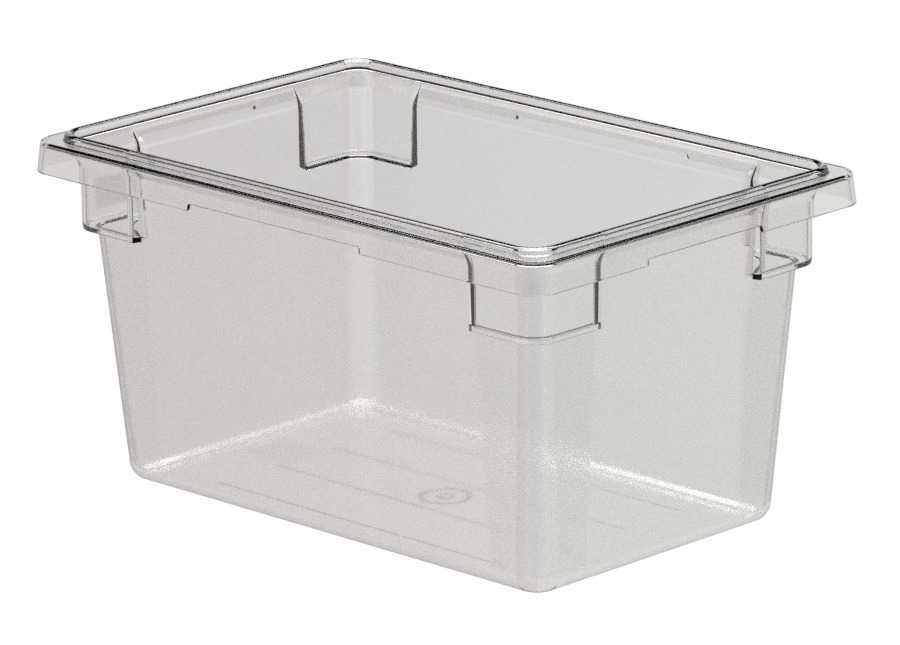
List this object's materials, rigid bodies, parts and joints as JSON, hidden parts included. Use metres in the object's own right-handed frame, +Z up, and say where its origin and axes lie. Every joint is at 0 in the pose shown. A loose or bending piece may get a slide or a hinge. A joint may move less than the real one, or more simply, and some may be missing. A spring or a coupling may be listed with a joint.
{
  "type": "food pan",
  "caption": "Deep rectangular clear plastic food pan with tapered walls, stepped corner lugs and a rolled rim with a hanging skirt.",
  "frame": {"origin": "middle of the base, at table height", "axes": "+X along the long side, +Y along the short side, +Z up"},
  "size_m": [0.4572, 0.302, 0.2345],
  "materials": {
    "clear_panel": "clear polycarbonate, very fine grain, light haze and wear",
    "clear_corner": "clear polycarbonate, smooth moulded corners with a soft haze",
    "clear_rim": "clear polycarbonate, polished rim"
  },
  "bodies": {
    "root": {"floor_panel": "clear_panel", "wall_front": "clear_panel", "wall_back": "clear_panel", "wall_left": "clear_panel", "wall_right": "clear_panel", "corner_post_front_left": "clear_corner", "corner_post_front_right": "clear_corner", "corner_post_back_left": "clear_corner", "corner_post_back_right": "clear_corner", "corner_lug_front_left": "clear_corner", "corner_lug_front_right": "clear_corner", "corner_lug_back_left": "clear_corner", "corner_lug_back_right": "clear_corner", "rim_flange": "clear_rim", "rim_skirt": "clear_rim", "rim_lip": "clear_rim"}
  },
  "joints": []
}
